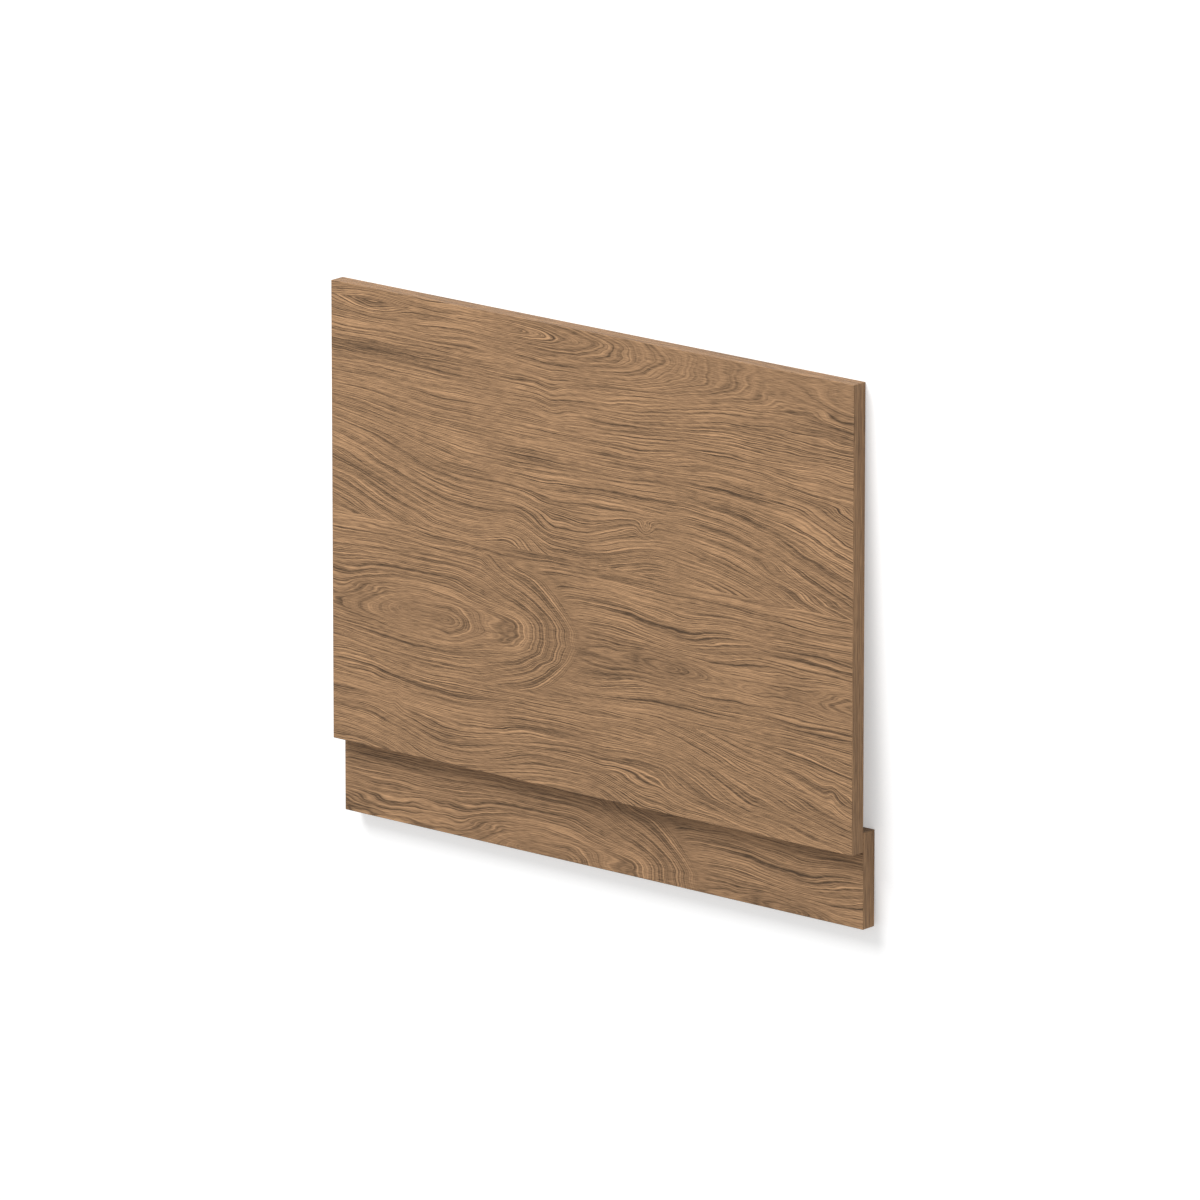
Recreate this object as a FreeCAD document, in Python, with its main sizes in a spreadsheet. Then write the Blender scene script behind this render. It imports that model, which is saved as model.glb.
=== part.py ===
import FreeCAD, Part
import math
import os
import Sketcher

# Bath end panel of two boards: a decorative panel, and a plinth screwed to the foot of its back.
# It lies face up on the floor. The panel's back rests on its upper long edge and on the inner
# long edge of the plinth, so the whole panel leans by the plinth's thickness over that span.
# In the panel's own frame X runs along its width, Y up its height and Z out of its face,
# and the origin is the middle of the upper edge of its back.

os.makedirs("parts", exist_ok=True)

doc = FreeCAD.newDocument("BathEndPanel")

# Driving sizes in millimetres
sheet = doc.addObject("Spreadsheet::Sheet", "Sizes")
sizes = (
    ("panel_width", 680),
    ("panel_height", 480),
    ("panel_thickness", 18),
    ("plinth_height", 100),
    ("plinth_thickness", 18),
    ("lap", 20),
    ("edge_radius", 0.8),
    ("screw_count", 4),
    ("screw_end_margin", 50),
    ("screw_hole_diameter", 4.5),
    ("countersink_diameter", 9),
    ("pilot_diameter", 3),
    ("pilot_depth", 12),
)
for row, (alias, value) in enumerate(sizes, start=1):
    sheet.set("A%d" % row, alias)
    sheet.set("B%d" % row, str(value))
    sheet.setAlias("B%d" % row, alias)
doc.recompute()

# Where the plinth's inner edge lies below the panel's upper edge, and the height of both boards
SPAN = "(Sizes.panel_height - Sizes.lap)"
TOTAL = "(Sizes.panel_height - Sizes.lap + Sizes.plinth_height)"
LEAN = "atan(Sizes.plinth_thickness / " + SPAN + ")"


def plane(body, role):
    for feature in body.Origin.OriginFeatures:
        if feature.Role == role:
            return feature
    raise RuntimeError("no plane " + role)


def new_body(name):
    body = doc.addObject("PartDesign::Body", name)
    body.Label = name
    return body


def sketch_on(body, name, depth):
    # A sketch parallel to the board's face, at a depth along its thickness
    sketch = body.newObject("Sketcher::SketchObject", name)
    sketch.AttachmentSupport = [(plane(body, "XY_Plane"), "")]
    sketch.MapMode = "FlatFace"
    if depth:
        sketch.setExpression("AttachmentOffset.Base.z", depth)
    return sketch


def board(body, width, upper, height, thickness, backwards):
    # A rectangle centred on the board's middle line, its upper edge at a distance below the origin
    sketch = sketch_on(body, body.Name + "_outline", None)
    corners = ((-10, -20), (10, -20), (10, -10), (-10, -10))
    for start in range(4):
        first = FreeCAD.Vector(corners[start][0], corners[start][1], 0)
        second = FreeCAD.Vector(corners[(start + 1) % 4][0], corners[(start + 1) % 4][1], 0)
        sketch.addGeometry(Part.LineSegment(first, second), False)
    for start in range(4):
        sketch.addConstraint(Sketcher.Constraint("Coincident", start, 2, (start + 1) % 4, 1))
    sketch.addConstraint(Sketcher.Constraint("Horizontal", 2))
    sketch.addConstraint(Sketcher.Constraint("Vertical", 1))
    sketch.addConstraint(Sketcher.Constraint("Vertical", 3))
    sketch.addConstraint(Sketcher.Constraint("Symmetric", 0, 1, 0, 2, -2))
    across = sketch.addConstraint(Sketcher.Constraint("DistanceX", 0, 1, 0, 2, 20))
    sketch.setExpression("Constraints[%d]" % across, width)
    along = sketch.addConstraint(Sketcher.Constraint("DistanceY", 1, 1, 1, 2, 10))
    sketch.setExpression("Constraints[%d]" % along, height)
    if upper:
        down = sketch.addConstraint(Sketcher.Constraint("DistanceY", 1, 2, -1, 1, 10))
        sketch.setExpression("Constraints[%d]" % down, upper)
    else:
        sketch.addConstraint(Sketcher.Constraint("PointOnObject", 1, 2, -1))
    pad = body.newObject("PartDesign::Pad", body.Name + "_board")
    pad.Profile = sketch
    pad.setExpression("Length", thickness)
    pad.Reversed = backwards
    doc.recompute()
    # The edges are lightly eased all round
    eased = body.newObject("PartDesign::Fillet", body.Name + "_edges")
    eased.Base = (pad, [])
    eased.UseAllEdges = True
    eased.setExpression("Radius", "Sizes.edge_radius")
    doc.recompute()
    return eased


def hole_row(body, name, depth_of_sketch):
    # The first hole's centre, halfway up the lap and a margin in from the left end
    sketch = sketch_on(body, name + "_centre", depth_of_sketch)
    centre = FreeCAD.Vector(-20, -20, 0)
    sketch.addGeometry(Part.Circle(centre, FreeCAD.Vector(0, 0, 1), 1), False)
    sketch.addConstraint(Sketcher.Constraint("Radius", 0, 1))
    inwards = sketch.addConstraint(Sketcher.Constraint("DistanceX", 0, 3, -1, 1, 20))
    sketch.setExpression("Constraints[%d]" % inwards, "Sizes.panel_width / 2 - Sizes.screw_end_margin")
    down = sketch.addConstraint(Sketcher.Constraint("DistanceY", 0, 3, -1, 1, 20))
    sketch.setExpression("Constraints[%d]" % down, SPAN + " + Sizes.lap / 2")
    doc.recompute()
    hole = body.newObject("PartDesign::Hole", name)
    hole.Profile = sketch
    doc.recompute()
    return sketch, hole


def repeat(body, hole, sketch, name):
    pattern = body.newObject("PartDesign::LinearPattern", name)
    pattern.Originals = [hole]
    pattern.Direction = (sketch, ["H_Axis"])
    pattern.setExpression("Length", "Sizes.panel_width - 2 * Sizes.screw_end_margin")
    pattern.setExpression("Occurrences", "Sizes.screw_count")
    body.Tip = pattern
    doc.recompute()
    return pattern


def cut_checked(before, body, what):
    if not body.Shape.Volume < before - 1:
        raise RuntimeError(what + " cuts nothing")


# The decorative panel, with blind pilot holes for the screws in its back
panel = new_body("panel")
board(panel, "Sizes.panel_width", None, "Sizes.panel_height", "Sizes.panel_thickness", False)
solid_volume = panel.Shape.Volume
pilot_sketch, pilot = hole_row(panel, "pilot", None)
pilot.ThreadType = 0
pilot.HoleCutType = 0
pilot.DepthType = "Dimension"
pilot.DrillPoint = "Angled"
pilot.DrillPointAngle = 118
pilot.setExpression("Diameter", "Sizes.pilot_diameter")
pilot.setExpression("Depth", "Sizes.pilot_depth")
pilot.Reversed = True
doc.recompute()
repeat(panel, pilot, pilot_sketch, "pilot_row")
cut_checked(solid_volume, panel, "the pilot row")

# The plinth behind the panel's foot, with countersunk screw holes from its back
plinth = new_body("plinth")
board(plinth, "Sizes.panel_width", SPAN, "Sizes.plinth_height", "Sizes.plinth_thickness", True)
solid_volume = plinth.Shape.Volume
screw_sketch, screw_hole = hole_row(plinth, "screw_hole", "-Sizes.plinth_thickness")
screw_hole.ThreadType = 0
screw_hole.DepthType = "ThroughAll"
screw_hole.HoleCutType = "Countersink"
screw_hole.HoleCutCustomValues = True
screw_hole.HoleCutCountersinkAngle = 90
screw_hole.setExpression("Diameter", "Sizes.screw_hole_diameter")
screw_hole.setExpression("HoleCutDiameter", "Sizes.countersink_diameter")
screw_hole.Reversed = True
doc.recompute()
repeat(plinth, screw_hole, screw_sketch, "screw_hole_row")
cut_checked(solid_volume, plinth, "the screw hole row")

# Both boards lie on the floor together, with the origin under the middle of the pair
DEPTH = "(" + TOTAL + " * cos(" + LEAN + ") + (Sizes.plinth_thickness - Sizes.panel_thickness) * sin("
DEPTH = DEPTH + LEAN + "))"
# The eased edges let the pair down to the floor by a hair
DROP = "-Sizes.edge_radius * (sin(" + LEAN + ") + cos(" + LEAN + ") - 1)"
for body in (panel, plinth):
    body.Placement = FreeCAD.Placement(FreeCAD.Vector(0, 0, 0), FreeCAD.Rotation(FreeCAD.Vector(1, 0, 0), -2))
    body.setExpression("Placement.Rotation.Angle", "-" + LEAN)
    body.setExpression("Placement.Base.y", DEPTH + " / 2")
    body.setExpression("Placement.Base.z", DROP)
doc.recompute()

# Every feature has to be sound before anything is written
for item in doc.Objects:
    for state in item.State:
        if state in ("Invalid", "Error"):
            raise RuntimeError(item.Name + " failed")
for body in (panel, plinth):
    if body.Shape.isNull() or not body.Shape.isValid():
        raise RuntimeError(body.Label + " has no sound shape")
    if len(body.Shape.Solids) != 1:
        raise RuntimeError(body.Label + " is not one solid")

for body in (panel, plinth):
    body.Shape.exportStep("parts/" + body.Label + ".step")
    box = body.Shape.BoundBox
    low = (round(box.XMin, 3), round(box.YMin, 3), round(box.ZMin, 3))
    high = (round(box.XMax, 3), round(box.YMax, 3), round(box.ZMax, 3))
    print(body.Label, "volume", round(body.Shape.Volume, 1), "from", low, "to", high)
print("lean", round(math.degrees(panel.Placement.Rotation.Angle), 4))
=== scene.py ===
import math

import bmesh
import bpy
from mathutils import Matrix, Vector
from mathutils.geometry import tessellate_polygon


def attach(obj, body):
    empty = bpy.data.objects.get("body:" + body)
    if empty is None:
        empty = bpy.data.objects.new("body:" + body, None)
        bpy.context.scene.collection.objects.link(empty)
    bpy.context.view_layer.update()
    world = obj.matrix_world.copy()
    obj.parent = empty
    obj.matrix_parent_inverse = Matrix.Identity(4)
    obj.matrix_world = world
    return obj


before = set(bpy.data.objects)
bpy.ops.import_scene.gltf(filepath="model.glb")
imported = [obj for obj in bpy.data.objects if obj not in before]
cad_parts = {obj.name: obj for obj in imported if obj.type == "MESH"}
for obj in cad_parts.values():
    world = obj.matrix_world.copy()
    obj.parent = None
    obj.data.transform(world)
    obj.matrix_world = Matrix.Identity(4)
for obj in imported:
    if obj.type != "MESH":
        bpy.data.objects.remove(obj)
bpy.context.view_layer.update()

# The boards' sizes in millimetres, as in the part
PANEL_WIDTH = 680.0
PANEL_HEIGHT = 480.0
PANEL_THICKNESS = 18.0
PLINTH_HEIGHT = 100.0
PLINTH_THICKNESS = 18.0
LAP = 20.0
SCREW_END_MARGIN = 50.0
SCREW_COUNT = 4

# The pair leans as it lies. Its own frame has x along the width, v up the height and w out of the face,
# and starts at the middle of the panel's upper edge, on the panel's back.
SPAN = PANEL_HEIGHT - LAP
TOTAL = SPAN + PLINTH_HEIGHT
LEAN = math.atan(PLINTH_THICKNESS / SPAN)
ORIGIN_Y = (TOTAL * math.cos(LEAN) + (PLINTH_THICKNESS - PANEL_THICKNESS) * math.sin(LEAN)) / 2
MM = 0.001
BOARD = Matrix.Translation((0, ORIGIN_Y * MM, 0)) @ Matrix.Rotation(-LEAN, 4, "X")


def board_point(x, v, w):
    return BOARD @ Vector((x * MM, v * MM, w * MM))


def board_way(x, v, w):
    return BOARD.to_3x3() @ Vector((x, v, w))


class Formula:
    # A number or vector worked out by shader nodes, which can be used in sums like a plain number
    def __init__(self, tree, socket):
        self.tree = tree
        self.socket = socket

    def math(self, operation, *others):
        return math_node(self.tree, operation, self, *others)

    def __add__(self, other):
        return self.math("ADD", other)

    __radd__ = __add__

    def __sub__(self, other):
        return self.math("SUBTRACT", other)

    def __rsub__(self, other):
        return math_node(self.tree, "SUBTRACT", other, self)

    def __mul__(self, other):
        return self.math("MULTIPLY", other)

    __rmul__ = __mul__

    def at_least(self, least):
        return self.math("MAXIMUM", least)

    def size(self):
        return self.math("ABSOLUTE")


def put(tree, value, socket):
    # A formula is linked, and a plain value is set
    if isinstance(value, Formula):
        tree.links.new(value.socket, socket)
    else:
        socket.default_value = value


def math_node(tree, operation, *values):
    node = tree.nodes.new("ShaderNodeMath")
    node.operation = operation
    for socket, value in zip(node.inputs, values):
        put(tree, value, socket)
    return Formula(tree, node.outputs[0])


def vector_node(tree, operation, *values):
    node = tree.nodes.new("ShaderNodeVectorMath")
    node.operation = operation
    for socket, value in zip(node.inputs, values):
        put(tree, value, socket)
    return Formula(tree, node.outputs["Value" if operation == "DOT_PRODUCT" else "Vector"])


def join(x, t):
    node = x.tree.nodes.new("ShaderNodeCombineXYZ")
    put(x.tree, x, node.inputs[0])
    put(x.tree, t, node.inputs[1])
    return Formula(x.tree, node.outputs[0])


def separate(tree, socket):
    node = tree.nodes.new("ShaderNodeSeparateXYZ")
    tree.links.new(socket, node.inputs[0])
    return [Formula(tree, output) for output in node.outputs]


def choose(test, yes, no):
    # yes where test is 1, no where it is 0
    return no + (yes - no) * test


# The next functions take plain numbers as well as formulas
def smooth(start, end, x):
    # A smooth step from 0 to 1
    if not isinstance(x, Formula):
        s = min(max((x - start) / (end - start), 0.0), 1.0)
        return s * s * (3 - 2 * s)
    node = x.tree.nodes.new("ShaderNodeMapRange")
    node.interpolation_type = "SMOOTHSTEP"
    put(x.tree, x, node.inputs["Value"])
    node.inputs["From Min"].default_value = start
    node.inputs["From Max"].default_value = end
    return Formula(x.tree, node.outputs[0])


def between(x, start, full, fall, end):
    # 1 between two places, with a smooth step on each side
    return smooth(start, full, x) * (1.0 - smooth(fall, end, x))


def root(x):
    return x.math("SQRT") if isinstance(x, Formula) else math.sqrt(x)


def bell(square):
    # A bell curve of height 1, from the square of the distance
    if isinstance(square, Formula):
        return math_node(square.tree, "POWER", math.exp(-1.0), square)
    return math.exp(-square)


def hill(x, centre, half):
    distance = (x - centre) * (1.0 / half)
    return bell(distance * distance)


def mound(p, centre_x, centre_t, half_x, half_t):
    # A hill in both directions
    x, t, vector = p
    if not isinstance(x, Formula):
        return hill(x, centre_x, half_x) * hill(t, centre_t, half_t)
    scale = (1.0 / half_x, 1.0 / half_t, 0.0)
    shift = (-centre_x / half_x, -centre_t / half_t, 0.0)
    offset = vector_node(x.tree, "MULTIPLY_ADD", vector, scale, shift)
    return bell(vector_node(x.tree, "DOT_PRODUCT", offset, offset))


def add_mounds(out, p, rows):
    # Each row has a centre, half sizes and a height
    for centre_x, centre_t, half_x, half_t, height in rows:
        rise = mound(p, centre_x, centre_t, half_x, half_t)
        if isinstance(out, Formula):
            out = rise.math("MULTIPLY_ADD", height, out)
        else:
            out = out + height * rise
    return out


# The figure of the three planks printed on the panel. A place p has x from the left and t down from the top,
# in mm, and both as a vector. Each plank gives the height of a ring surface, and the grain lines are its
# contours. A number before smooth, between or hill is a height, and the numbers inside are places, in mm.
UPPER_AXIS = 13.0
UPPER_MOUNDS = (
    (60, 20, 40, 15, -9.0),
    (414, 191, 9, 8, -13.0),
    (228, 228, 28, 10, 7.0),
    (292, 78, 16, 22, -5.0),
)


def upper_plank(p):
    # Arcs along the upper edge, lines that fall at both ends, and a step near the middle
    x, t = p[:2]
    arch = 50.0 * smooth(225, 590, x) - 4.0 * smooth(596, 700, x)
    drop = t - UPPER_AXIS
    rings = root(drop * drop + arch * arch)
    left_fall = 48.0 * (1.0 - smooth(-40, 178, x)) * smooth(80, 165, t)
    right_fall = 72.0 * smooth(430, 760, x) * smooth(65, 250, t)
    step = 18.0 * between(x, 240, 296, 325, 430) * smooth(165, 216, t)
    return add_mounds(rings + left_fall - right_fall - step, p, UPPER_MOUNDS)


EYE_AXIS = 330.0
RING_TILT = 0.14
MIDDLE_MOUNDS = ((444, 327, 50, 15, -8.0),)


def middle_plank(p):
    # An eye on the left, and level lines that run on past it
    x, t = p[:2]
    drop = t - EYE_AXIS
    core = 640.0 - 580.0 * smooth(5, 125, x) + 560.0 * smooth(150, 215, x) - 470.0 * smooth(255, 325, x)
    fork = 0.5 * between(x, 190, 290, 325, 430) * hill(t, 352, 24)
    spread = drop * (1.0 - fork)
    rings = root(spread * spread + core) + RING_TILT * drop
    lift = 7.0 * between(x, 330, 465, 465, 560) * hill(t, 296, 26)
    next_eye = 6.0 * smooth(588, 695, x) * hill(t, 331, 18)
    return add_mounds(rings + lift - next_eye, p, MIDDLE_MOUNDS)


KNOT_X = 240.0
KNOT_CORE = 620.0
ARC_NARROWING = 1.3
ARC_POINT = 0.3


def knot_arcs(p):
    # Arcs that close to a blunt point, to the right of a small knot in the middle plank; formulas only
    x, t = p[:2]
    drop = t - EYE_AXIS
    aside = (ARC_NARROWING * drop).size()
    ahead = (x - KNOT_X).at_least(0.0)
    reach = root(ahead * ahead + aside * aside + ARC_POINT * ahead * aside + KNOT_CORE)
    return reach + RING_TILT * drop


LOWER_TOP = 380.0
LOWER_MOUNDS = (
    (84, 420, 7, 14, 4.0),
    (654, 420, 7, 14, 3.0),
)


def lower_plank(p):
    # Waves that fall to the right, with a valley and a few arcs at the lower edge
    x, t = p[:2]
    wave = 13.0 * smooth(30, 130, x) - 9.0 * smooth(150, 330, x)
    wave = wave + 36.0 * smooth(425, 560, x) + 30.0 * smooth(535, 730, x)
    growth = 0.75 + 0.25 * smooth(400, 450, t)
    valley = 13.0 * hill(x, 172, 62) * smooth(425, 462, t)
    arcs = 26.0 * between(x, 325, 425, 440, 520) * smooth(425, 492, t)
    return add_mounds(t - LOWER_TOP - wave * growth - valley - arcs, p, LOWER_MOUNDS)


# The joints between the planks, and a shift that keeps each plank's ring heights apart from the others'
UPPER_JOINT = 238.5
LOWER_JOINT = 385.0
UPPER_SHIFT = 0.0
MIDDLE_SHIFT = 1000.0
LOWER_SHIFT = 500.0
PLANKS = {
    "upper": (upper_plank, UPPER_SHIFT),
    "middle": (middle_plank, MIDDLE_SHIFT),
    "lower": (lower_plank, LOWER_SHIFT),
}

# The knot's arcs come in between these x, and end between these ring heights
ARCS_START = 195.0
ARCS_FULL = 250.0
ARCS_INNER = 84.0
ARCS_OUTER = 104.0
ARCS_WARP = 0.4

# Bold dark rings: plank, x and t of a point on the ring, half its length, half its thickness, depth
BOLD_RINGS = (
    ("upper", 360, 162, 120, 1.1, 0.9),
    ("upper", 520, 190, 90, 1.1, 0.8),
    ("upper", 165, 203, 90, 1.3, 1.0),
    ("upper", 270, 205, 30, 1.3, 0.8),
    ("upper", 215, 176, 70, 1.0, 0.7),
    ("upper", 330, 138, 90, 1.0, 0.8),
    ("upper", 500, 118, 80, 0.9, 0.6),
    ("upper", 40, 148, 60, 1.1, 0.7),
    ("upper", 80, 212, 40, 1.1, 0.7),
    ("upper", 540, 158, 80, 1.1, 0.6),
    ("upper", 60, 62, 100, 3.0, 0.5),
    ("upper", 10, 103, 40, 1.0, 0.7),
    ("upper", 400, 84, 90, 1.0, 0.5),
    ("middle", 100, 287, 90, 1.2, 0.9),
    ("middle", 190, 247, 60, 0.9, 0.5),
    ("middle", 420, 252, 110, 0.9, 0.7),
    ("middle", 440, 287, 90, 1.0, 0.8),
    ("middle", 650, 293, 80, 1.1, 0.9),
    ("middle", 399, 325, 12, 1.6, 0.25),
    ("middle", 50, 352, 70, 1.1, 0.6),
    ("middle", 420, 366, 70, 2.4, 0.5),
    ("lower", 110, 404, 110, 1.3, 1.0),
    ("lower", 620, 393, 80, 1.2, 0.9),
    ("lower", 150, 458, 80, 1.1, 0.7),
    ("lower", 520, 415, 70, 1.0, 0.5),
    ("lower", 492, 458, 16, 1.6, 0.7),
)

# Where the lines are fainter, or stronger with a plus: centre, half sizes, change
CALM_PLACES = (
    (520, 6, 200, 36, -0.8),
    (105, 331, 90, 20, -0.75),
    (405, 329, 105, 15, -0.7),
    (650, 331, 80, 15, -0.6),
    (280, 330, 24, 40, 0.2),
    (236, 330, 24, 14, -0.5),
    (668, 12, 32, 22, -0.45),
    (322, 328, 16, 50, -0.3),
)

# Soft patches: centre, half sizes, change of tone
PATCHES = (
    (300, 196, 36, 8, -0.32),
    (333, 332, 10, 5, -0.38),
    (176, 328, 9, 17, -0.06),
    (181, 329, 4, 5, -0.28),
    (110, 331, 60, 10, 0.06),
    (201, 292, 3, 3, -0.30),
    (234, 330, 2.5, 5, -0.24),
    (245, 333, 3, 3, -0.24),
    (257, 322, 3, 5, -0.16),
    (256, 338, 4, 3, -0.18),
    (238, 345, 16, 2, 0.10),
    (215, 331, 16, 1.5, -0.26),
    (370, 350, 30, 6, -0.16),
    (357, 326, 16, 6, -0.12),
    (440, 328, 52, 13, -0.14),
    (402, 325, 5, 9, -0.22),
    (456, 329, 10, 9, -0.13),
    (420, 228, 12, 9, -0.22),
    (630, 59, 70, 8, -0.12),
    (610, 74, 70, 14, -0.06),
    (80, 64, 110, 10, -0.22),
    (340, 231, 60, 6, -0.26),
    (205, 46, 30, 8, 0.14),
    (250, 224, 14, 9, -0.08),
    (140, 425, 60, 12, 0.14),
    (560, 90, 40, 14, -0.06),
)

# Noises: size along and across the grain in mm, a shift that tells them apart, detail, roughness
NOISES = {
    "wide_warp": (110, 28, 3.1, 1.0, 0.5),
    "small_warp": (34, 10, 7.7, 1.0, 0.5),
    "sway": (50, 19, 8.3, 1.0, 0.5),
    "bands": (300, 6.5, 1.3, 1.0, 0.6),
    "strength": (210, 6.0, 5.9, 0.0, 0.5),
    "long_lines": (300, 1.15, 6.4, 1.0, 0.6),
    "fine": (120, 0.7, 9.2, 1.0, 0.6),
    "ticks": (14, 0.75, 2.6, 1.0, 0.6),
    "clouds": (170, 22, 4.4, 1.0, 0.5),
}
SHIFT_ACROSS = 0.37

# How far the noises move the rings and the figure round the eye, in mm
WIDE_WARP = 4.5
SWAY_X = 4.0
SWAY_T = 2.5
SWAY_AXIS = 331
SWAY_HALF = 34

# The dark line that ends each ring
RING_SPACING = 4.3
RING_WANDER = 1.2
LINE_BASE = 0.5
LINE_VARIES = 1.3

# What each layer adds to the tone
TONE = 0.988
TONE_LEAST = 0.25
BANDS = 0.06
CLOUDS = 0.11
TICKS = 0.64
FINE = 1.34
LONG_LINES = 0.54
LINES = 0.33
LINES_MEAN = 0.08
BOLD = 0.85
BOLD_BASE = 0.8
BOLD_VARIES = 0.8

# How much fainter the lines are on ends, edges and at the border of the arcs, and how much painted shade
# darkens the long edges, to tone down the lamp's light on the upper edge
END_CALM = 0.5
EDGE_CALM = 0.15
BORDER_CALM = 3.6
EDGE_PAINTED_SHADE = 0.17

# Ends and long edges carry plain lengthwise grain from these places of the figure
FACING = 0.7
END_X = 400.0
END_STRETCH = 0.6
END_T = 112.0
EDGE_T = 96.0

OAK = (0.318, 0.186, 0.098)
OAK_ROUGHNESS = 0.6
OAK_SPECULAR = 0.2
PORE_STRENGTH = 0.6
PORE_DEPTH = 0.0003

# The plinth is cut from another place of the same figure
PLINTH_ALONG = 141.0
PLINTH_DOWN = -229.5


def bold_mounds():
    # The bold rings as mounds in x and ring height
    rows = []
    for plank, x, t, length, half, depth in BOLD_RINGS:
        figure, shift = PLANKS[plank]
        rows.append((x, figure((x, t, None)) + shift, length, half, depth))
    return rows


def noise(vector, kind):
    # Noise drawn out along the grain, about -1 to 1
    tree = vector.tree
    size_along, size_across, shift, detail, roughness = NOISES[kind]
    scale = (1.0 / size_along, 1.0 / size_across, 0.0)
    stretched = vector_node(tree, "MULTIPLY_ADD", vector, scale, (shift, SHIFT_ACROSS * shift, 0.0))
    node = tree.nodes.new("ShaderNodeTexNoise")
    node.noise_dimensions = "2D"
    node.inputs["Scale"].default_value = 1.0
    node.inputs["Detail"].default_value = detail
    node.inputs["Roughness"].default_value = roughness
    put(tree, stretched, node.inputs["Vector"])
    return Formula(tree, node.outputs["Fac"]) * 2.0 - 1.0


def shader(name):
    material = bpy.data.materials.new(name)
    material.use_nodes = True
    return material, material.node_tree.nodes["Principled BSDF"]


def place_on_board(tree, shift_x, shift_t):
    # The place in the figure, and where the surface is an end or a long edge
    coords = tree.nodes.new("ShaderNodeTexCoord")
    spot = tree.nodes.new("ShaderNodeMapping")
    spot.vector_type = "TEXTURE"
    spot.inputs["Location"].default_value = (0.0, ORIGIN_Y * MM, 0.0)
    spot.inputs["Rotation"].default_value = (-LEAN, 0.0, 0.0)
    spot.inputs["Scale"].default_value = (MM, MM, MM)
    tree.links.new(coords.outputs["Object"], spot.inputs["Vector"])
    board_x, board_v, board_w = separate(tree, spot.outputs[0])
    facing = tree.nodes.new("ShaderNodeMapping")
    facing.vector_type = "NORMAL"
    facing.inputs["Rotation"].default_value = (LEAN, 0.0, 0.0)
    tree.links.new(coords.outputs["Normal"], facing.inputs["Vector"])
    facing_x, facing_v = separate(tree, facing.outputs[0])[:2]
    end = facing_x.size().math("GREATER_THAN", FACING)
    edge = facing_v.size().math("GREATER_THAN", FACING)
    x = choose(end, END_STRETCH * board_v + END_X, board_x + shift_x)
    t = choose(end, END_T + board_w, choose(edge, EDGE_T + board_w, shift_t - board_v))
    return (x, t, join(x, t)), end, edge


def ring_height(p):
    # The ring height at each place, and a border where the knot's arcs meet the straight lines
    x, t, vector = p
    warp = WIDE_WARP * noise(vector, "wide_warp") + noise(vector, "small_warp")
    upper = t.math("LESS_THAN", UPPER_JOINT)
    lower = t.math("GREATER_THAN", LOWER_JOINT)
    # Round the eye and the knot the figure is a little uneven
    sway = noise(vector, "sway") * hill(t, SWAY_AXIS, SWAY_HALF)
    swayed_x = x + SWAY_X * sway
    swayed_t = t + SWAY_T * sway
    swayed = (swayed_x, swayed_t, join(swayed_x, swayed_t))
    arcs = knot_arcs(swayed)
    come_in = smooth(ARCS_START, ARCS_FULL, x)
    outside = smooth(ARCS_INNER, ARCS_OUTER, arcs + ARCS_WARP * warp)
    inside = outside.math("LESS_THAN", 0.5) * come_in
    middle = choose(inside, arcs, middle_plank(swayed)) + MIDDLE_SHIFT
    border = outside * (1.0 - outside) * come_in * (1.0 - upper) * (1.0 - lower)
    ring = choose(lower, lower_plank(p) + LOWER_SHIFT, middle)
    ring = choose(upper, upper_plank(p) + UPPER_SHIFT, ring)
    return ring + warp, border


def oak(name, shift_x, shift_t):
    material, principled = shader(name)
    tree = material.node_tree
    p, end, edge = place_on_board(tree, shift_x, shift_t)
    ring, border = ring_height(p)
    along = join(p[0], ring)

    # Noises that follow the rings, and short ticks that lie level
    bands = noise(along, "bands")
    strength = noise(along, "strength")
    long_lines = noise(along, "long_lines")
    fine = noise(along, "fine")
    clouds = noise(along, "clouds")
    ticks = noise(p[2], "ticks")

    # Each ring darkens slowly and ends in a thin dark line, more on some rings than on others
    saw = (ring * (1.0 / RING_SPACING) + RING_WANDER * bands).math("FRACT")
    lines = saw * saw * saw * (LINE_BASE + LINE_VARIES * strength).at_least(0.0)
    calm = add_mounds(1.0, p, CALM_PLACES)
    calm = calm * (1.0 - END_CALM * end - EDGE_CALM * edge) * (1.0 - BORDER_CALM * border)
    streaks = LINES_MEAN + LONG_LINES * long_lines - LINES * lines + FINE * fine
    tone = TONE + BANDS * bands + CLOUDS * clouds + streaks * calm + TICKS * ticks
    # Painted shade: the long edges are darkened, which tones down the lamp's light on the upper edge
    tone = tone * (1.0 - EDGE_PAINTED_SHADE * edge)
    bold = add_mounds(0.0, (p[0], ring, along), bold_mounds())
    tone = tone - BOLD * bold * (BOLD_BASE + BOLD_VARIES * fine)
    tone = add_mounds(tone, p, PATCHES).at_least(TONE_LEAST)

    paint = tree.nodes.new("ShaderNodeVectorMath")
    paint.operation = "SCALE"
    paint.inputs[0].default_value = OAK
    put(tree, tone, paint.inputs["Scale"])
    tree.links.new(paint.outputs[0], principled.inputs["Base Color"])

    bump = tree.nodes.new("ShaderNodeBump")
    bump.inputs["Strength"].default_value = PORE_STRENGTH
    bump.inputs["Distance"].default_value = PORE_DEPTH
    put(tree, ticks, bump.inputs["Height"])
    tree.links.new(bump.outputs[0], principled.inputs["Normal"])
    principled.inputs["Roughness"].default_value = OAK_ROUGHNESS
    principled.inputs["Specular IOR Level"].default_value = OAK_SPECULAR
    return material


def dress(node, material):
    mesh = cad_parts[node].data
    mesh.materials.clear()
    mesh.materials.append(material)


dress("panel", oak("oak_panel", PANEL_WIDTH / 2, 0.0))
dress("plinth", oak("oak_plinth", PANEL_WIDTH / 2 - PLINTH_ALONG, PLINTH_DOWN))

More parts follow.
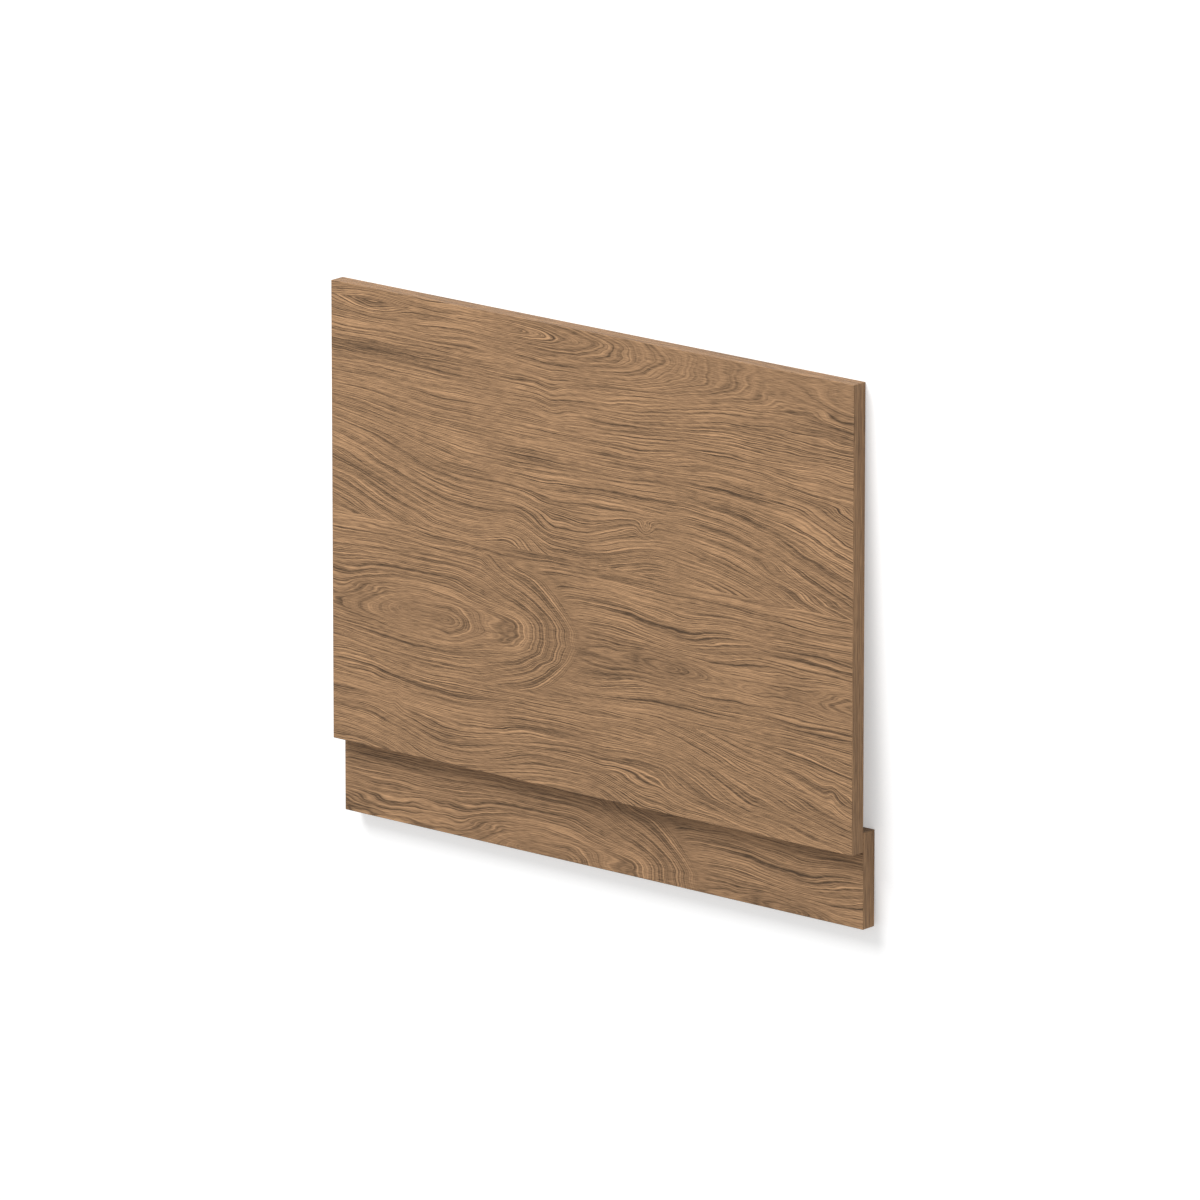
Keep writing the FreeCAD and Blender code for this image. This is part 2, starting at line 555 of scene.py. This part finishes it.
# Countersunk screws, driven from behind the plinth into the panel: radius and w of each ring, in mm
SCREW_PROFILE = ((3.95, -17.5), (2.0, -15.55), (2.0, -0.3), (1.45, 0.3), (1.45, 10.5))
SCREW_TIP = 11.9
SCREW_SIDES = 32
RECESS_HALF = 0.55
RECESS_REACH = 2.2
RECESS_FLOOR = -16.1
QUARTER_TURNS = ((1, 0), (0, 1), (-1, 0), (0, -1))
ZINC = (0.66, 0.67, 0.68, 1.0)
ZINC_ROUGHNESS = 0.38


def wall(start, other, count):
    # Four-sided faces between two rings of points
    steps = [(i, (i + 1) % count) for i in range(count)]
    return [(start + i, start + j, other + j, other + i) for i, j in steps]


def screw(name, x, v, material):
    turns = [2 * math.pi * i / SCREW_SIDES for i in range(SCREW_SIDES)]
    circle = [(math.cos(turn), math.sin(turn)) for turn in turns]
    verts = []
    faces = []
    for radius, w in SCREW_PROFILE:
        verts += [board_point(x + radius * a, v + radius * b, w) for a, b in circle]
    for row in range(len(SCREW_PROFILE) - 1):
        faces += wall(row * SCREW_SIDES, (row + 1) * SCREW_SIDES, SCREW_SIDES)
    tip = len(verts)
    verts.append(board_point(x, v, SCREW_TIP))
    last = tip - SCREW_SIDES
    faces += [(last + i, last + (i + 1) % SCREW_SIDES, tip) for i in range(SCREW_SIDES)]

    # The cross recess, cut into the head
    head_radius, head_w = SCREW_PROFILE[0]
    arm = ((RECESS_REACH, -RECESS_HALF), (RECESS_REACH, RECESS_HALF), (RECESS_HALF, RECESS_HALF))
    cross = []
    for c, s in QUARTER_TURNS:
        cross += [(a * c - b * s, a * s + b * c) for a, b in arm]
    top = len(verts)
    verts += [board_point(x + a, v + b, head_w) for a, b in cross]
    bottom = len(verts)
    verts += [board_point(x + a, v + b, RECESS_FLOOR) for a, b in cross]
    faces += wall(top, bottom, len(cross))
    faces.append(tuple(range(bottom, len(verts))))
    rim = [Vector((head_radius * a, head_radius * b, 0)) for a, b in circle]
    hole = [Vector((a, b, 0)) for a, b in cross]
    index = list(range(SCREW_SIDES)) + list(range(top, bottom))
    faces += [tuple(index[i] for i in corners) for corners in tessellate_polygon([rim, hole])]

    mesh = bpy.data.meshes.new(name)
    mesh.from_pydata(verts, [], faces)
    shape = bmesh.new()
    shape.from_mesh(mesh)
    bmesh.ops.recalc_face_normals(shape, faces=shape.faces)
    shape.to_mesh(mesh)
    shape.free()
    mesh.materials.append(material)
    piece = bpy.data.objects.new(name, mesh)
    bpy.context.scene.collection.objects.link(piece)
    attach(piece, "root")


zinc, zinc_shade = shader("zinc")
zinc_shade.inputs["Base Color"].default_value = ZINC
zinc_shade.inputs["Metallic"].default_value = 1.0
zinc_shade.inputs["Roughness"].default_value = ZINC_ROUGHNESS
screw_span = PANEL_WIDTH - 2 * SCREW_END_MARGIN
for number in range(SCREW_COUNT):
    screw_x = SCREW_END_MARGIN - PANEL_WIDTH / 2 + screw_span * number / (SCREW_COUNT - 1)
    screw("screw_%d" % (number + 1), screw_x, LAP / 2 - PANEL_HEIGHT, zinc)

# The floor is white all round, and keeps the shadow under the boards
FLOOR_SIZE = 60.0
FLOOR_GREY = (0.9, 0.9, 0.9, 1)
FLOOR_ROUGHNESS = 0.9
FLOOR_GLOW = 0.36
WHITE = (1, 1, 1, 1)
SEEN_RAYS = ("Is Camera Ray", "Is Glossy Ray", "Is Transmission Ray")


def seen_ray(tree):
    # 1 where the eye looks straight at it or sees it in metal or glass, 0 where it only gives light
    path = tree.nodes.new("ShaderNodeLightPath")
    straight, mirrored, through = (Formula(tree, path.outputs[kind]) for kind in SEEN_RAYS)
    return straight.at_least(mirrored).at_least(through)


bpy.ops.mesh.primitive_plane_add(size=FLOOR_SIZE, location=(0, 0, 0))
floor = bpy.context.object
floor.name = "floor"
white, white_shade = shader("white_floor")
white_shade.inputs["Base Color"].default_value = FLOOR_GREY
white_shade.inputs["Roughness"].default_value = FLOOR_ROUGHNESS
white_shade.inputs["Specular IOR Level"].default_value = 0.0
white_shade.inputs["Emission Color"].default_value = WHITE
put(white.node_tree, FLOOR_GLOW * seen_ray(white.node_tree), white_shade.inputs["Emission Strength"])
floor.data.materials.append(white)

# The sky gives half its light, and is seen as plain white
WORLD_LIGHT = 0.5
world = bpy.data.worlds.new("studio")
bpy.context.scene.world = world
world.use_nodes = True
sky = world.node_tree.nodes["Background"]
sky.inputs["Color"].default_value = WHITE
sky_level = WORLD_LIGHT + (1.0 - WORLD_LIGHT) * seen_ray(world.node_tree)
put(world.node_tree, sky_level, sky.inputs["Strength"])

# One broad lamp, beyond the upper edge and a little to the left, in metres
KEY_PLACE = Vector((-0.9, 3.3, 2.35))
KEY_SIZE = 2.6
KEY_WATTS = 152
key_data = bpy.data.lights.new("key", "AREA")
key_data.shape = "DISK"
key_data.size = KEY_SIZE
key_data.energy = KEY_WATTS
key = bpy.data.objects.new("key", key_data)
bpy.context.scene.collection.objects.link(key)
key.location = KEY_PLACE
key.rotation_euler = (-KEY_PLACE).to_track_quat("-Z", "Y").to_euler()

# The camera, where it stood before the panel as it was photographed upright: from the panel's left end,
# its face and the plinth's foot, in mm
LENS = 410.15
SENSOR_WIDTH = 36.0
CLIP_END = 200.0
CAMERA_X = 8838.3
CAMERA_BEFORE = 10104.0
CAMERA_UP = 3820.9
YAW = math.radians(40.017)
PITCH = math.radians(14.998)
camera_place = board_point(CAMERA_X - PANEL_WIDTH / 2, CAMERA_UP - TOTAL, PANEL_THICKNESS + CAMERA_BEFORE)
ahead = board_way(-math.sin(YAW) * math.cos(PITCH), -math.sin(PITCH), -math.cos(YAW) * math.cos(PITCH))
across = board_way(math.cos(YAW), 0, -math.sin(YAW))
upward = across.cross(ahead)
camera_data = bpy.data.cameras.new("camera")
camera_data.lens = LENS
camera_data.sensor_width = SENSOR_WIDTH
camera_data.clip_end = CLIP_END
camera = bpy.data.objects.new("camera", camera_data)
bpy.context.scene.collection.objects.link(camera)
turned = Matrix((across, upward, -ahead)).transposed()
camera.matrix_world = Matrix.Translation(camera_place) @ turned.to_4x4()
bpy.context.scene.camera = camera

bpy.context.scene.view_settings.view_transform = "Standard"
